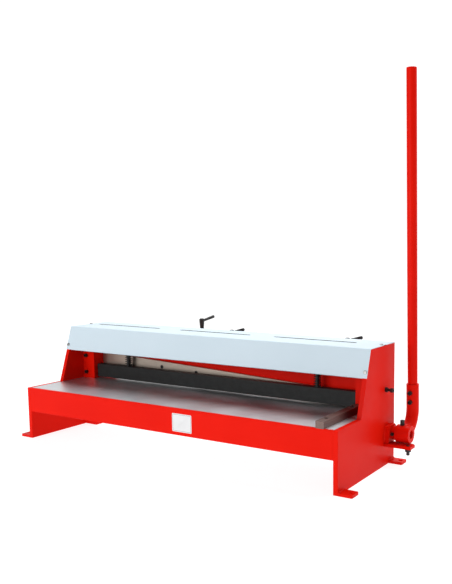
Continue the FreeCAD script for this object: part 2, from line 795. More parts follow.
RODS = {
    "left_gauge_rod": ("(-sizes.rod_spacing / 2)", ROD_HEIGHT, "sizes.rod_radius",
                       "sizes.rod_stud_radius"),
    "right_gauge_rod": ("(sizes.rod_spacing / 2)", ROD_HEIGHT, "sizes.rod_radius",
                        "sizes.rod_stud_radius"),
    "scale_rod": ("(-sizes.scale_rod_place)", SCALE_ROD_HEIGHT, "sizes.scale_rod_radius",
                  "sizes.scale_stud_radius"),
}
FORK_SCREW_X = [f"({GUIDE_INSIDE} + sizes.fork_screw_inset)",
                f"({GUIDE_INSIDE} + sizes.fork_screw_inset + sizes.fork_screw_pitch)"]


def knife_beam():
    step = f"({GUIDE_INSIDE} - sizes.beam_step_gap)"
    left_edge = f"({cutting_edge(f'-{step}')} + sizes.beam_edge_setback)"
    right_edge = f"({cutting_edge(step)} + sizes.beam_edge_setback)"
    outline = [
        (f"-{TONGUE_END}", TONGUE_BOTTOM),
        (f"-{step}", TONGUE_BOTTOM),
        (f"-{step}", left_edge),
        (step, right_edge),
        (step, TONGUE_BOTTOM),
        (TONGUE_END, TONGUE_BOTTOM),
        (TONGUE_END, BEAM_TOP),
        (f"-{TONGUE_END}", BEAM_TOP),
    ]
    plate = padded("beam_plate", "XZ_Plane", BEAM_FRONT, "sizes.beam_thickness", outline)
    flange_end = f"({GUIDE_INSIDE} - sizes.beam_flange_gap)"
    flange = box("beam_flange",
                 (f"-{flange_end}", BEAM_BACK, f"{BEAM_TOP} - sizes.beam_flange_height"),
                 (flange_end, f"{BEAM_BACK} + sizes.beam_flange_depth", BEAM_TOP))
    threads = [tapped(f"beam_thread_{index}", (x, BEAM_FRONT, upper_screw_height(x)), "+Y",
                      BEAM_THREAD_DEPTH)
               for index, x in enumerate(blade_screw_places())]
    threads += [tapped(f"{name}_thread", (x, BEAM_BACK, z), "-Y", "sizes.rod_stud_depth", stud)
                for name, (x, z, _, stud) in RODS.items()]
    threads += [tapped(f"fork_thread_{side}_{index}", (signed(side, x), BEAM_MIDDLE, TONGUE_BOTTOM),
                       "+Z", "sizes.fork_thread_depth", "sizes.small_screw_radius")
                for side in (RIGHT, LEFT) for index, x in enumerate(FORK_SCREW_X)]
    return cut("knife_beam", fused("beam_body", [plate, flange]), threads)


def spring_ledges():
    ledges = []
    for side in (RIGHT, LEFT):
        x = signed(side, SPRING_X)
        ledge = box(f"ledge_blank_{side}",
                    (f"{x} - sizes.ledge_width / 2", f"{BEAM_FRONT} - sizes.ledge_reach", LEDGE_BOTTOM),
                    (f"{x} + sizes.ledge_width / 2", BEAM_FRONT, LEDGE_TOP))
        hole = cylinder(f"ledge_hole_{side}", (x, SPRING_Y, LEDGE_BOTTOM), "+Z",
                        "sizes.bolt_radius + sizes.bolt_clearance", "sizes.ledge_thickness")
        ledges.append(cut(f"ledge_{side}", ledge, [hole]))
    return grouped("spring_ledges", ledges)


# Forks: each hangs from a tongue and takes a crank's roller in a slot that is open to the rear.

def fork():
    slot_half = "(sizes.roller_radius + sizes.fork_clearance)"
    slot_end = ("(sizes.shaft_depth - sizes.crank_radius - sizes.roller_radius"
                " - sizes.fork_end_clearance)")
    front = f"({slot_end} - sizes.fork_wall)"
    rear = "(sizes.shaft_depth - sizes.shaft_radius - sizes.fork_rear_clearance)"
    flange_bottom = f"({TONGUE_BOTTOM} - sizes.fork_flange)"
    outline = [
        (front, f"{PIN_Z} - {slot_half} - sizes.fork_finger"),
        (rear, f"{PIN_Z} - {slot_half} - sizes.fork_finger"),
        (rear, f"{PIN_Z} - {slot_half}"),
        (slot_end, f"{PIN_Z} - {slot_half}"),
        (slot_end, f"{PIN_Z} + {slot_half}"),
        (rear, f"{PIN_Z} + {slot_half}"),
        (rear, f"{PIN_Z} + {slot_half} + sizes.fork_finger"),
        (f"{front} + sizes.fork_spine", f"{PIN_Z} + {slot_half} + sizes.fork_finger"),
        (f"{front} + sizes.fork_spine", flange_bottom),
        (front, flange_bottom),
    ]
    plate = padded("fork_plate", "YZ_Plane", FORK_INSIDE, "sizes.roller_width", outline)
    flange = box("fork_flange_blank",
                 (f"{GUIDE_INSIDE} + sizes.beam_step_gap", front, flange_bottom),
                 (TONGUE_END, BEAM_BACK, TONGUE_BOTTOM))
    holes = [tapped(f"fork_hole_{index}", (x, BEAM_MIDDLE, flange_bottom), "+Z", "sizes.fork_flange",
                    "sizes.small_screw_radius")
             for index, x in enumerate(FORK_SCREW_X)]
    return cut("right_fork", fused("fork_body", [plate, flange]), holes)


def fork_screws():
    bottom = f"({TONGUE_BOTTOM} - sizes.fork_flange)"
    return grouped("fork_screws", [
        socket_screw(f"fork_screw_{side}_{index}", (signed(side, x), BEAM_MIDDLE, bottom), "+Z",
                     "sizes.fork_flange + sizes.fork_thread_depth - sizes.screw_tip_gap", small=True)
        for side in (RIGHT, LEFT) for index, x in enumerate(FORK_SCREW_X)])


# Torque shaft, crank arms with their pins, rollers, bushes and bearing blocks.

def torque_shaft():
    start = f"(-{COLLAR_OUTSIDE} - 1)"
    return cylinder("torque_shaft", (start, "sizes.shaft_depth", "sizes.shaft_height"), "+X",
                    "sizes.shaft_radius", f"{HUB_OUTSIDE} - sizes.shaft_recess - {start}")


def crank_arm():
    inside = f"({CRANK_OUTSIDE} - sizes.crank_thickness)"
    axis = (inside, "sizes.shaft_depth", "sizes.shaft_height")
    big_end = cylinder("crank_big_end_blank", axis, "+X", "sizes.crank_big_end",
                       "sizes.crank_thickness")
    small_end = cylinder("crank_small_end_blank", (inside, PIN_Y, PIN_Z), "+X",
                         "sizes.crank_small_end", "sizes.crank_thickness")
    arm = doc.addObject("Part::Box", "crank_web")
    arm.setExpression("Length", "sizes.crank_thickness")
    arm.setExpression("Width", "sizes.crank_radius")
    arm.setExpression("Height", "2 * sizes.crank_small_end")
    # The web runs from the pin to the shaft, tilted down by the crank's lift.
    arm.Placement = FreeCAD.Placement(FreeCAD.Vector(), FreeCAD.Rotation(-ALONG_X, 1))
    arm.setExpression(".Placement.Rotation.Angle", "sizes.crank_lift")
    arm.setExpression(".Placement.Base.x", inside)
    arm.setExpression(".Placement.Base.y", f"{PIN_Y} - sizes.crank_small_end * sin(sizes.crank_lift)")
    arm.setExpression(".Placement.Base.z", f"{PIN_Z} - sizes.crank_small_end * cos(sizes.crank_lift)")
    pin = cylinder("crank_pin", (CRANK_OUTSIDE, PIN_Y, PIN_Z), "+X", "sizes.pin_radius",
                   f"{FORK_OUTSIDE} + sizes.pin_overhang - {CRANK_OUTSIDE}")
    shoulder = cylinder("crank_shoulder", (CRANK_OUTSIDE, PIN_Y, PIN_Z), "+X",
                        "sizes.pin_radius + sizes.pin_shoulder",
                        f"{FORK_INSIDE} - sizes.pin_side_gap - {CRANK_OUTSIDE}")
    bore = cylinder("crank_bore", axis, "+X", "sizes.shaft_radius + sizes.press_clearance",
                    "sizes.crank_thickness")
    return cut("right_crank_arm", fused("crank_body", [big_end, small_end, arm, pin, shoulder]), [bore])


def roller():
    outline = [
        ("sizes.pin_radius + sizes.running_clearance", 0),
        ("sizes.roller_radius", 0),
        ("sizes.roller_radius", "sizes.roller_width"),
        ("sizes.pin_radius + sizes.running_clearance", "sizes.roller_width"),
    ]
    return turned("right_roller", outline, (FORK_INSIDE, PIN_Y, PIN_Z), "+X")


def bush():
    inner = "sizes.shaft_radius + sizes.running_clearance"
    length = f"({BLOCK_OUTSIDE} - {PLATE_INSIDE} + sizes.bush_flange)"
    outline = [
        (inner, 0),
        (f"{BUSH_RADIUS} + sizes.bush_flange_rim", 0),
        (f"{BUSH_RADIUS} + sizes.bush_flange_rim", "sizes.bush_flange"),
        (BUSH_RADIUS, "sizes.bush_flange"),
        (BUSH_RADIUS, length),
        (inner, length),
    ]
    return turned("right_bush", outline,
                  (f"{PLATE_INSIDE} - sizes.bush_flange", "sizes.shaft_depth", "sizes.shaft_height"), "+X")


def shaft_bushes():
    right = bush()
    return grouped("shaft_bushes", [right, mirrored("left_bush", right)])


def bearing_block():
    outline = [
        ("sizes.block_front", BRACKET_TOP),
        ("sizes.block_back", BRACKET_TOP),
        ("sizes.block_back", "sizes.block_top - sizes.block_chamfer"),
        ("sizes.block_back - sizes.block_chamfer", "sizes.block_top"),
        ("sizes.block_front", "sizes.block_top"),
    ]
    seat = ("sizes.shaft_depth", "sizes.shaft_height", f"{BUSH_RADIUS} + sizes.press_clearance")
    return padded("right_bearing_block", "YZ_Plane", HALF, "sizes.block_thickness", outline, [seat])


# Lever: collars on the shaft's ends, and a hub with a bent socket that holds the lever tube.

def collar(side):
    start = signed(side, COLLAR_INSIDE if side == RIGHT else COLLAR_OUTSIDE)
    axis = ("sizes.shaft_depth", "sizes.shaft_height")
    ring = cylinder(f"collar_ring_{side}", (start, *axis), "+X", "sizes.collar_radius",
                    "sizes.collar_width")
    bore = cylinder(f"collar_bore_{side}", (start, *axis), "+X",
                    "sizes.shaft_radius + sizes.press_clearance", "sizes.collar_width")
    screw_hole = tapped(f"collar_thread_{side}", collar_screw_seat(side), "+Y",
                        "sizes.collar_radius - sizes.shaft_radius", "sizes.small_screw_radius")
    flat = box(f"collar_flat_{side}",
               (start, "sizes.shaft_depth - sizes.collar_radius",
                "sizes.shaft_height - sizes.small_head_radius"),
               (f"{start} + sizes.collar_width", f"sizes.shaft_depth - {COLLAR_FLAT}",
                "sizes.shaft_height + sizes.small_head_radius"))
    return cut(f"collar_{side}", ring, [bore, screw_hole, flat])


COLLAR_FLAT = "sqrt(sizes.collar_radius ^ 2 - sizes.small_head_radius ^ 2)"
COLLAR_MIDDLE = f"({COLLAR_INSIDE} + sizes.collar_width / 2)"


def collar_screw_seat(side):
    return signed(side, COLLAR_MIDDLE), f"(sizes.shaft_depth - {COLLAR_FLAT})", "sizes.shaft_height"


def shaft_collars():
    return grouped("shaft_collars", [collar(RIGHT), collar(LEFT)])


def collar_screws():
    length = f"({COLLAR_FLAT} - sizes.shaft_radius - sizes.press_clearance)"
    return grouped("collar_screws", [
        socket_screw(f"collar_screw_{side}", collar_screw_seat(side), "+Y", length, small=True)
        for side in (RIGHT, LEFT)])


HUB_SCREW_X = f"({HUB_INSIDE} + sizes.hub_screw_place)"


def lever_hub():
    inner = "sizes.shaft_radius + sizes.press_clearance"
    rim = "(sizes.hub_radius - sizes.edge_round)"
    outline = [
        (inner, 0),
        (rim, 0),
        ("sizes.hub_radius", "sizes.edge_round"),
        ("sizes.hub_radius", "sizes.hub_length - sizes.edge_round"),
        (rim, "sizes.hub_length"),
        (inner, "sizes.hub_length"),
    ]
    hub = turned("hub_blank", outline, (HUB_INSIDE, "sizes.shaft_depth", "sizes.shaft_height"), "+X")
    screw_hole = tapped("hub_thread", (HUB_SCREW_X, "sizes.shaft_depth", "sizes.shaft_height"), "+Z",
                        "sizes.hub_radius")
    flat = cylinder("hub_flat",
                    (HUB_SCREW_X, "sizes.shaft_depth", f"sizes.shaft_height + {HUB_FLAT}"), "+Z",
                    "sizes.nut_flats * sizes.screw_flat_ratio / 2", "sizes.hub_radius")
    return cut("lever_hub", hub, [screw_hole, flat])


HUB_FLAT = "(sizes.hub_radius - 1)"


def lever_socket():
    """A tube that leaves the hub to the rear, bends upwards and ends open."""
    bend_z = "(sizes.shaft_height + sizes.elbow_radius)"
    tubes = []
    for name, radius in (("outside", "sizes.socket_radius"),
                         ("bore", "(sizes.socket_radius - sizes.socket_wall)")):
        bend = doc.addObject("Part::Torus", f"socket_{name}_bend")
        bend.setExpression("Radius1", "sizes.elbow_radius")
        bend.setExpression("Radius2", radius)
        bend.Angle3 = 90
        # Turned to +X, the quarter ring runs from straight below its centre round to the rear.
        place(bend, (LEVER_X, "sizes.shaft_depth", bend_z), "+X")
        straight = cylinder(f"socket_{name}_straight", (LEVER_X, LEVER_Y, bend_z), "+Z", radius,
                            "sizes.socket_top - sizes.elbow_radius")
        tubes.append(fused(f"socket_{name}", [bend, straight]))
    outside, bore = tubes
    saddle = cylinder("socket_saddle", (HUB_INSIDE, "sizes.shaft_depth", "sizes.shaft_height"), "+X",
                      "sizes.hub_radius + sizes.weld_gap", "sizes.hub_length")
    tools = [bore, saddle]
    for index, height in enumerate(SOCKET_SCREW_HEIGHTS):
        x, y, z = socket_screw_seat(height)
        tools.append(tapped(f"socket_thread_{index}", (x, y, z), "+Y", "sizes.socket_wall"))
        tools.append(cylinder(f"socket_flat_{index}", (x, y, z), "-Y",
                              "sizes.screw_head_radius + sizes.head_clearance", "sizes.socket_wall"))
    return cut("lever_socket", outside, tools)


SOCKET_SCREW_HEIGHTS = ["sizes.socket_screw_low", "sizes.socket_screw_high"]


def socket_screw_seat(height):
    y = f"({LEVER_Y} - sizes.socket_radius + sizes.screw_flat_depth)"
    return LEVER_X, y, f"(sizes.shaft_height + {height})"


def lever_tube():
    """The hand lever: a tube closed at its top, standing in the socket above the bend."""
    bottom = "(sizes.shaft_height + sizes.elbow_radius)"
    top = "(sizes.shaft_height + sizes.lever_top)"
    outside = cylinder("lever_outside", (LEVER_X, LEVER_Y, bottom), "+Z", LEVER_RADIUS,
                       f"{top} - {bottom}")
    outside = rounded("lever_outside_rounded", outside, "sizes.lever_end_round",
                      lambda edge: edge.Curve.TypeId == "Part::GeomCircle"
                      and edge.CenterOfMass.z > number(top) - 1)
    bore = cylinder("lever_bore", (LEVER_X, LEVER_Y, bottom), "+Z",
                    f"{LEVER_RADIUS} - sizes.lever_wall", f"{top} - {bottom} - sizes.lever_wall")
    return cut("lever_tube", outside, [bore])


def lever_screws():
    """The hub's clamp screw with its nut, and the socket's two screws."""
    nut_z = f"(sizes.shaft_height + {HUB_FLAT})"
    head_z = f"({nut_z} + sizes.nut_thickness + sizes.screw_tip_gap)"
    pieces = [
        nut("hub_nut", (HUB_SCREW_X, "sizes.shaft_depth", nut_z), "+Z", "sizes.nut_flats",
            "sizes.nut_thickness", "sizes.screw_radius"),
        socket_screw("hub_screw", (HUB_SCREW_X, "sizes.shaft_depth", head_z), "-Z",
                     f"{head_z} - sizes.shaft_height - sizes.shaft_radius - sizes.press_clearance"),
    ]
    for index, height in enumerate(SOCKET_SCREW_HEIGHTS):
        pieces.append(socket_screw(f"socket_screw_{index}", socket_screw_seat(height), "+Y",
                                   "sizes.socket_wall - sizes.screw_flat_depth"))
    return grouped("lever_screws", pieces)


# Stop bracket under the right bearing block, with a screw and its lock nut.

BRACKET_BOTTOM = f"({BRACKET_TOP} - sizes.bracket_thickness)"
STOP_X = f"({HALF} + sizes.bracket_length - sizes.stop_screw_inset)"
STOP_Y = "(sizes.bracket_front + sizes.stop_screw_inset)"


def stop_bracket():
    end = f"({HALF} + sizes.bracket_length)"
    back = "(sizes.bracket_front + sizes.bracket_depth)"
    corner = "sizes.bracket_corner"
    outline = [
        (HALF, "sizes.bracket_front"),
        (end, "sizes.bracket_front"),
        (end, f"{back} - {corner}"),
        (f"{end} - {corner}", back),
        (HALF, back),
    ]
    hole = (STOP_X, STOP_Y, "sizes.stop_screw_radius + sizes.thread_clearance")
    return padded("stop_bracket", "XY_Plane", BRACKET_BOTTOM, "sizes.bracket_thickness", outline, [hole])


def stop_screw():
    top = f"({BRACKET_TOP} + sizes.stop_screw_proud)"
    return cylinder("stop_screw", (STOP_X, STOP_Y, f"{top} - sizes.stop_screw_length"), "+Z",
                    "sizes.stop_screw_radius", "sizes.stop_screw_length")


def stop_nut():
    return nut("stop_nut", (STOP_X, STOP_Y, BRACKET_BOTTOM), "-Z", "sizes.stop_nut_flats",
               "sizes.stop_nut_thickness", "sizes.stop_screw_radius")


# Hold-down: a bar hung on two bolts from the beam's ledges, pressed down by a spring on each.

def hold_down_bar():
    end = f"({GUIDE_INSIDE} - sizes.hold_down_end_gap)"
    bar = box("hold_down_blank",
              (f"-{end}", "sizes.hold_down_front", HOLD_DOWN_BOTTOM),
              (end, "sizes.hold_down_front + sizes.hold_down_depth", HOLD_DOWN_TOP))
    bar = rounded("hold_down_rounded", bar, "sizes.edge_round", lambda edge: runs_along(edge, ALONG_X))
    threads = [tapped(f"hold_down_thread_{side}", (signed(side, SPRING_X), SPRING_Y, HOLD_DOWN_TOP),
                      "-Z", "sizes.bolt_engagement + sizes.screw_tip_gap", "sizes.bolt_radius")
               for side in (RIGHT, LEFT)]
    return cut("hold_down_bar", bar, threads)


def hold_down_bolts():
    bolts = []
    for side in (RIGHT, LEFT):
        at = (signed(side, SPRING_X), SPRING_Y, LEDGE_TOP)
        head = hexagon(f"bolt_head_{side}", at, "+Z", "2 * sizes.bolt_head_radius",
                       "sizes.bolt_head_height")
        shank = cylinder(f"bolt_shank_{side}", at, "-Z", "sizes.bolt_radius",
                         f"{LEDGE_TOP} - {HOLD_DOWN_TOP} + sizes.bolt_engagement")
        bolts.append(fused(f"bolt_{side}", [head, shank]))
    return grouped("hold_down_bolts", bolts)


def spring_turns():
    return round(number(f"{SPRING_HEIGHT} / sizes.spring_pitch"))


def spring_rises():
    """Height gained in each half turn: nearly closed at both ends, evenly open between."""
    halves = 2 * spring_turns()
    end_rise = number("sizes.spring_end_lead") / 2
    room = number(f"{SPRING_HEIGHT} - sizes.spring_wire - 2 * sizes.spring_seat_gap")
    middle_rise = (room - 4 * end_rise) / (halves - 4)
    return [end_rise] * 2 + [middle_rise] * (halves - 4) + [end_rise] * 2


def spring_stations():
    """Places and directions of the wire's middle line, one for each half turn."""
    radius = number("sizes.spring_radius")
    rises = spring_rises()
    height = number("sizes.spring_wire / 2 + sizes.spring_seat_gap")
    stations = []
    for index in range(len(rises) + 1):
        near = rises[max(index - 1, 0):index + 1]
        steepness = sum(near) / len(near) / (math.pi * radius)
        angle = math.pi * index
        where = FreeCAD.Vector(radius * math.cos(angle), radius * math.sin(angle), height)
        heading = FreeCAD.Vector(-math.sin(angle), math.cos(angle), steepness).normalize()
        stations.append((where, heading))
        if index < len(rises):
            height += rises[index]
    return stations


def arc_leaving(start, heading, end):
    """The arc from start to end that leaves start along its heading."""
    chord = end - start
    sideways = chord - heading * chord.dot(heading)
    to_centre = sideways.normalize()
    radius = chord.dot(chord) / (2 * chord.dot(to_centre))
    centre = start + to_centre * radius
    middle = centre + ((start + end) * 0.5 - centre).normalize() * radius
    return Part.Arc(start, middle, end)


def biarc(start, heading, end, end_heading):
    """Two arcs that join two places smoothly in the two given headings."""
    across = end - start
    both = heading + end_heading
    square = 2 * (1 - heading.dot(end_heading))
    linear = 2 * across.dot(both)
    reach = (-linear + math.sqrt(linear ** 2 + 4 * square * across.dot(across))) / (2 * square)
    joint = ((start + heading * reach) + (end - end_heading * reach)) * 0.5
    first = arc_leaving(start, heading, joint)
    second = arc_leaving(end, end_heading * -1, joint)
    return [first.toShape(), Part.Arc(joint, second.value(
        (second.FirstParameter + second.LastParameter) / 2), end).toShape()]


def spring_wire_path():
    """The wire's middle line: a short straight, the turns, and a short straight."""
    stations = spring_stations()
    straight = number("sizes.spring_wire")
    first, first_heading = stations[0]
    last, last_heading = stations[-1]
    edges = [Part.LineSegment(first - first_heading * straight, first).toShape()]
    for (start, heading), (end, end_heading) in zip(stations, stations[1:]):
        edges += biarc(start, heading, end, end_heading)
    edges.append(Part.LineSegment(last, last + last_heading * straight).toShape())
    return Part.Wire(edges)


def spring_shape(path):
    start = path.OrderedEdges[0]
    where = start.valueAt(start.FirstParameter)
    heading = start.tangentAt(start.FirstParameter)
    wire_radius = number("sizes.spring_wire / 2")
    ring = Part.Wire([Part.Circle(where, heading, wire_radius).toShape()])
    return path.makePipeShell([ring], True, False)


def least_self_gap(path):
    """The least gap between the wire and itself, a half turn or more apart, on points."""
    points = path.discretize(Number=40 * spring_turns())
    apart = 20
    nearest = min((a - b).Length for index, a in enumerate(points) for b in points[index + apart:])
    return nearest - number("sizes.spring_wire")


def springs():
    path = spring_wire_path()
    shape = spring_shape(path)
    print(f"spring: {spring_turns()} turns, least self gap {least_self_gap(path):.2f} mm")
    made = []
    for name, side in (("right_spring", RIGHT), ("left_spring", LEFT)):
        spring = doc.addObject("Part::Feature", name)
        spring.Shape = shape
        made.append(place(spring, (signed(side, SPRING_X), SPRING_Y, HOLD_DOWN_TOP)))
    return made


# Cover: one bent sheet over the plates' slopes and tops, with three long slots.

def cover():
    low_y, low_z = slope_point(COVER_BOTTOM)
    out_y = f"(sizes.sheet_thickness * sin({SLOPE_ANGLE}))"
    out_z = f"(sizes.sheet_thickness * cos({SLOPE_ANGLE}))"
    lip_y = f"(sizes.cover_lip * sin({SLOPE_ANGLE}))"
    lip_z = f"(sizes.cover_lip * cos({SLOPE_ANGLE}))"
    top = "(sizes.plate_height + sizes.sheet_thickness)"
    sheet_outline = [
        (low_y, low_z),
        ("sizes.slope_back", "sizes.plate_height"),
        ("sizes.plate_depth", "sizes.plate_height"),
        ("sizes.plate_depth", top),
        (f"sizes.slope_back - sizes.sheet_thickness * tan({SLOPE_ANGLE} / 2)", top),
        (f"{low_y} - {out_y}", f"{low_z} + {out_z}"),
    ]
    shell = padded("cover_sheet", "YZ_Plane", f"-{HALF}", "sizes.overall_width", sheet_outline)
    inner_z = number("sizes.plate_height")
    shell = rounded("cover_inner_bend", shell, "sizes.bend_radius",
                    lambda edge: at_cover_bend(edge) and abs(edge.CenterOfMass.z - inner_z) < 0.1)
    shell = rounded("cover_outer_bend", shell, "sizes.bend_radius + sizes.sheet_thickness",
                    lambda edge: at_cover_bend(edge) and edge.CenterOfMass.z > inner_z + 0.1)
    inside = f"({PLATE_INSIDE} - sizes.cover_lip_gap)"
    along_y = f"(sizes.sheet_thickness * cos({SLOPE_ANGLE}))"
    along_z = f"(sizes.sheet_thickness * sin({SLOPE_ANGLE}))"
    lip_outline = [
        (low_y, low_z),
        (f"{low_y} + {lip_y}", f"{low_z} - {lip_z}"),
        (f"{low_y} + {lip_y} + {along_y}", f"{low_z} - {lip_z} + {along_z}"),
        (f"{low_y} + {along_y}", f"{low_z} + {along_z}"),
    ]
    front_lip = padded("cover_front_lip", "YZ_Plane", f"-{inside}", f"2 * {inside}", lip_outline)
    rear_lip = box("cover_rear_lip",
                   (f"-{inside}", "sizes.plate_depth - sizes.sheet_thickness",
                    "sizes.plate_height - sizes.cover_lip"),
                   (inside, "sizes.plate_depth", "sizes.plate_height"))
    return cut("cover", fused("cover_shell", [shell, front_lip, rear_lip]),
               cover_slots() + cover_screw_holes())


def cover_slots():
    margins = "(sizes.slot_left_margin + sizes.slot_right_margin)"
    length = f"((sizes.overall_width - {margins} - 2 * sizes.slot_gap) / 3)"
    bottom, depth = "(sizes.plate_height - 1)", "sizes.sheet_thickness + 2"
    slots = []
    for index in range(3):
        start = f"(sizes.slot_left_margin - {HALF} + {index} * ({length} + sizes.slot_gap))"
        end_centres = [f"({start} + sizes.slot_width / 2)", f"({start} + {length} - sizes.slot_width / 2)"]
        middle = box(f"slot_middle_{index}",
                     (end_centres[0], "sizes.slot_place - sizes.slot_width / 2", bottom),
                     (end_centres[1], "sizes.slot_place + sizes.slot_width / 2", f"{bottom} + {depth}"))
        ends = [cylinder(f"slot_end_{index}_{number_}", (x, "sizes.slot_place", bottom), "+Z",
                         "sizes.slot_width / 2", depth)
                for number_, x in enumerate(end_centres)]
        slots.append(fused(f"slot_{index}", [middle, *ends]))
    return slots


def cover_screw_seats(side):
    """Seats of one side's top and front cover screws, on the outside of the sheet."""
    x = signed(side, COVER_SCREW_X)
    y, z = slope_point(COVER_SCREW_HEIGHT)
    top = (x, COVER_SCREW_TOP_Y, "sizes.plate_height + sizes.sheet_thickness")
    front = (x, f"({y} - sizes.sheet_thickness * sin({SLOPE_ANGLE}))",
             f"({z} + sizes.sheet_thickness * cos({SLOPE_ANGLE}))")
    return top, front


def cover_screw_holes():
    holes = []
    for side in (RIGHT, LEFT):
        top, front = cover_screw_seats(side)
        holes.append(tapped(f"cover_hole_top_{side}", top, "-Z", "sizes.sheet_thickness",
                            "sizes.small_screw_radius"))
        holes.append(square_to_slope(tapped(f"cover_hole_front_{side}", front, "-Z",
                                            "sizes.sheet_thickness", "sizes.small_screw_radius")))
    return holes


def cover_screws():
    screws = []
    for side in (RIGHT, LEFT):
        top, front = cover_screw_seats(side)
        length = "sizes.sheet_thickness + sizes.small_thread_depth - 2 * sizes.screw_tip_gap"
        screws.append(pan_screw(f"cover_screw_top_{side}", top, "-Z", length))
        screws.append(square_to_slope(pan_screw(f"cover_screw_front_{side}", front, "-Z", length)))
    return grouped("cover_screws", screws)


# Side gauge on the table, square to the blades.

SIDE_GAUGE_TOP = "(sizes.table_height + sizes.side_gauge_height)"


def side_gauge():
    bar = box("side_gauge_blank", (GUIDE_INSIDE, 0, "sizes.table_height"),
              (f"{GUIDE_INSIDE} + sizes.side_gauge_width", SIDE_GAUGE_BACK, SIDE_GAUGE_TOP))
    bar = rounded("side_gauge_rounded", bar, "sizes.edge_round",
                  lambda edge: edge.CenterOfMass.z > number(SIDE_GAUGE_TOP) - 1)
    seats = [screw_seat(f"side_gauge_seat_{index}", (x, y, SIDE_GAUGE_TOP), "-Z",
                        "sizes.side_gauge_height")
             for index, (x, y) in enumerate(side_gauge_screw_places())]
    return cut("side_gauge", bar, seats)


def side_gauge_screws():
    length = f"(sizes.side_gauge_height - {HEAD_SEAT} + sizes.table_thickness - sizes.screw_tip_gap)"
    return grouped("side_gauge_screws", [
        socket_screw(f"side_gauge_screw_{index}", (x, y, f"({SIDE_GAUGE_TOP} - {HEAD_SEAT})"), "-Z", length)
        for index, (x, y) in enumerate(side_gauge_screw_places())])


# Rear gauge: an angle bar on sliders that run on two rods, with a third rod for the scale.

def rod(name):
    x, z, radius, stud = RODS[name]
    shoulder = f"({BEAM_BACK} + sizes.rod_nut_thickness)"
    bar = cylinder(f"{name}_bar", (x, shoulder, z), "+Y", radius, f"sizes.rod_end - {shoulder}")
    stud_length = "(sizes.rod_stud_depth - sizes.screw_tip_gap)"
    stud_bar = cylinder(f"{name}_stud", (x, f"{BEAM_BACK} - {stud_length}", z), "+Y", stud,
                        f"{stud_length} + sizes.rod_nut_thickness")
    return fused(name, [bar, stud_bar])


def rod_nuts():
    return grouped("rod_nuts", [
        nut(f"{name}_nut", (x, BEAM_BACK, z), "+Y", f"(2 * {radius} + sizes.rod_nut_rim)",
            "sizes.rod_nut_thickness", stud)
        for name, (x, z, radius, stud) in RODS.items()])


GAUGE_FRONT = "(sizes.gauge_place - sizes.slider_size / 2)"
GAUGE_BACK = "(sizes.gauge_place + sizes.slider_size / 2)"


def gauge_screw_places():
    return [f"({x} + {side} * sizes.gauge_screw_spread)" for x, _, _, _ in RODS.values()
            for side in (RIGHT, LEFT)]


def gauge_bar():
    flange = f"({SLIDER_BOTTOM} - sizes.gauge_thickness)"
    outline = [
        (GAUGE_FRONT, f"{SLIDER_BOTTOM} - sizes.gauge_drop"),
        (f"{GAUGE_FRONT} + sizes.gauge_thickness", f"{SLIDER_BOTTOM} - sizes.gauge_drop"),
        (f"{GAUGE_FRONT} + sizes.gauge_thickness", flange),
        (GAUGE_BACK, flange),
        (GAUGE_BACK, SLIDER_BOTTOM),
        (GAUGE_FRONT, SLIDER_BOTTOM),
    ]
    bar = padded("gauge_angle", "YZ_Plane", "-sizes.gauge_length / 2", "sizes.gauge_length", outline)
    holes = [tapped(f"gauge_hole_{index}", (x, "sizes.gauge_place", flange), "+Z",
                    "sizes.gauge_thickness", "sizes.small_screw_radius")
             for index, x in enumerate(gauge_screw_places())]
    return cut("gauge_bar", bar, holes)


def slider(name, rod_name, top):
    """A block that runs on a rod, threaded below for the gauge bar and above for its clamp."""
    x, z, radius, _ = RODS[rod_name]
    half = "(sizes.slider_size / 2)"
    block = box(f"{name}_blank", (f"{x} - {half}", GAUGE_FRONT, SLIDER_BOTTOM),
                (f"{x} + {half}", GAUGE_BACK, top))
    block = rounded(f"{name}_rounded", block, "sizes.edge_round",
                    lambda edge: edge.CenterOfMass.z > number(SLIDER_BOTTOM) + 1)
    bore_radius = f"({radius} + sizes.running_clearance)"
    bore = cylinder(f"{name}_bore", (x, GAUGE_FRONT, z), "+Y", bore_radius, "sizes.slider_size")
    stud_hole = tapped(f"{name}_stud_hole", (x, "sizes.gauge_place", top), "-Z", f"({top} - {z})",
                       "sizes.clamp_stud_radius")
    threads = [tapped(f"{name}_thread_{side}",
                      (f"{x} + {side} * sizes.gauge_screw_spread", "sizes.gauge_place", SLIDER_BOTTOM),
                      "+Z", "sizes.gauge_thread_depth", "sizes.small_screw_radius")
               for side in (RIGHT, LEFT)]
    return cut(name, block, [bore, stud_hole, *threads])


def gauge_screws():
    bottom = f"({SLIDER_BOTTOM} - sizes.gauge_thickness)"
    return grouped("gauge_screws", [
        socket_screw(f"gauge_screw_{index}", (x, "sizes.gauge_place", bottom), "+Z",
                     "sizes.gauge_thickness + sizes.gauge_thread_depth - sizes.screw_tip_gap", small=True)
        for index, x in enumerate(gauge_screw_places())])


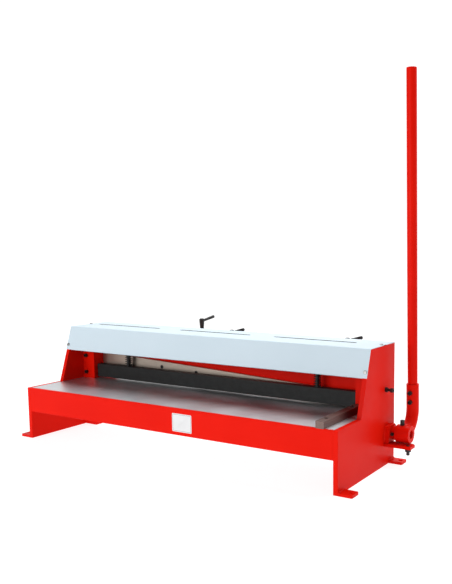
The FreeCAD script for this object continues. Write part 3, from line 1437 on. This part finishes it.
def clamp_lever(name, rod_name, top, turn):
    """A ratchet lever whose stud goes down into its block and bears on the rod."""
    x, z, radius, _ = RODS[rod_name]
    crown = "sizes.clamp_crown"
    outline = [
        (0, 0),
        ("sizes.clamp_foot_radius", 0),
        ("sizes.clamp_head_radius", f"sizes.clamp_height - {crown}"),
        (f"sizes.clamp_head_radius - {crown}", "sizes.clamp_height"),
        (0, "sizes.clamp_height"),
    ]
    hub = turned(f"{name}_hub", outline, (0, 0, 0), "+Z")
    root = "(sizes.clamp_height - sizes.clamp_arm_drop)"
    arm = cylinder(f"{name}_arm", (0, 0, root), "+X", "sizes.clamp_arm_radius",
                   "sizes.clamp_arm_length")
    arm.setExpression(".Placement.Rotation.Angle", "90 - sizes.clamp_arm_rise")
    tip = doc.addObject("Part::Sphere", f"{name}_tip")
    tip.setExpression("Radius", "sizes.clamp_tip_radius")
    place(tip, ("sizes.clamp_arm_length * cos(sizes.clamp_arm_rise)", 0,
                f"{root} + sizes.clamp_arm_length * sin(sizes.clamp_arm_rise)"))
    stud_length = f"({top} - {z} - {radius} - sizes.running_clearance - sizes.clamp_stud_gap)"
    stud = cylinder(f"{name}_stud", (0, 0, 0), "-Z", "sizes.clamp_stud_radius", stud_length)
    lever = place(fused(name, [hub, arm, tip, stud]), (x, "sizes.gauge_place", top))
    lever.Placement = FreeCAD.Placement(FreeCAD.Vector(), FreeCAD.Rotation(ALONG_Z, 1))
    lever.setExpression(".Placement.Rotation.Angle", turn)
    return lever


# The whole shear, sub-part by sub-part.

SLIDER_TOP = f"({SLIDER_BOTTOM} + sizes.slider_size)"
SCALE_BLOCK_TOP = f"({SLIDER_BOTTOM} + sizes.scale_block_height)"

mirrored_node("left_side_plate", node("right_side_plate", side_plate()))
node("foot_tabs", foot_tabs())
node("front_apron", front_apron())
node("table_plate", table_plate())
node("bed_beam", bed_beam())
node("lower_blade", lower_blade())
node("lower_blade_screws", lower_blade_screws())
mirrored_node("left_guide_column", node("right_guide_column", guide_column()))
mirrored_node("left_rear_guide", node("right_rear_guide", rear_guide()))
node("guide_screws", guide_screws())
node("side_gibs", side_gibs())
node("gib_screws", gib_screws())
node("gib_lock_nuts", gib_lock_nuts())
node("cover", cover())
node("cover_screws", cover_screws())
node("side_gauge", side_gauge())
node("side_gauge_screws", side_gauge_screws())
mirrored_node("left_bearing_block", node("right_bearing_block", bearing_block()))
node("shaft_bushes", shaft_bushes())
node("stop_bracket", stop_bracket())
node("stop_screw", stop_screw())
node("stop_nut", stop_nut())

node("knife_beam", knife_beam())
node("upper_blade", upper_blade())
node("upper_blade_screws", upper_blade_screws())
node("spring_ledges", spring_ledges())
mirrored_node("left_fork", node("right_fork", fork()))
node("fork_screws", fork_screws())

node("torque_shaft", torque_shaft())
mirrored_node("left_crank_arm", node("right_crank_arm", crank_arm()))
mirrored_node("left_roller", node("right_roller", roller()))
node("shaft_collars", shaft_collars())
node("collar_screws", collar_screws())
leaning_nodes.append(node("lever_hub", lever_hub()))
leaning_nodes.append(node("lever_socket", lever_socket()))
leaning_nodes.append(node("lever_tube", lever_tube()))
leaning_nodes.append(node("lever_screws", lever_screws()))

node("hold_down_bar", hold_down_bar())
node("hold_down_bolts", hold_down_bolts())
for spring in springs():
    node(spring.Name, spring)

for rod_name in RODS:
    node(rod_name, rod(rod_name))
node("rod_nuts", rod_nuts())
node("gauge_bar", gauge_bar())
node("left_slider", slider("left_slider", "left_gauge_rod", SLIDER_TOP))
node("right_slider", slider("right_slider", "right_gauge_rod", SLIDER_TOP))
node("scale_clamp_block", slider("scale_clamp_block", "scale_rod", SCALE_BLOCK_TOP))
node("gauge_screws", gauge_screws())
node("left_clamp_lever", clamp_lever("left_clamp_lever", "left_gauge_rod", SLIDER_TOP, "0"))
node("right_clamp_lever", clamp_lever("right_clamp_lever", "right_gauge_rod", SLIDER_TOP, "0"))
node("scale_clamp_lever",
     clamp_lever("scale_clamp_lever", "scale_rod", SCALE_BLOCK_TOP, "sizes.scale_clamp_turn"))

# Shift every sub-part to the origin between the foot holes, and lean the lever forward a little
# about the shaft.
SHIFT = "sizes.plate_depth / 2"
for piece in nodes:
    if piece in mirrored_nodes:
        continue
    if piece in leaning_nodes:
        lean, y, z = "sizes.lever_lean", "sizes.shaft_depth", "sizes.shaft_height"
        piece.Placement = FreeCAD.Placement(FreeCAD.Vector(), FreeCAD.Rotation(ALONG_X, 1))
        piece.setExpression(".Placement.Rotation.Angle", lean)
        piece.setExpression(".Placement.Base.y", f"{y} - {y} * cos({lean}) + {z} * sin({lean}) - {SHIFT}")
        piece.setExpression(".Placement.Base.z", f"{z} - {y} * sin({lean}) - {z} * cos({lean})")
    else:
        piece.setExpression(".Placement.Base.y", f"{placed_y.get(piece.Name, 0)} - {SHIFT}")
doc.recompute()

for item in doc.Objects:
    if "Invalid" in item.State or "Error" in item.State:
        raise RuntimeError(f"{item.Label} did not build: {item.State}")
for piece in nodes:
    if piece.Shape.isNull() or not piece.Shape.isValid() or not piece.Shape.Solids:
        raise RuntimeError(f"{piece.Label} has no valid solid")

os.makedirs("parts", exist_ok=True)
for piece in nodes:
    piece.Shape.exportStep(f"parts/{piece.Label}.step")
print(f"{len(nodes)} sub-parts, {sum(len(piece.Shape.Solids) for piece in nodes)} solids")
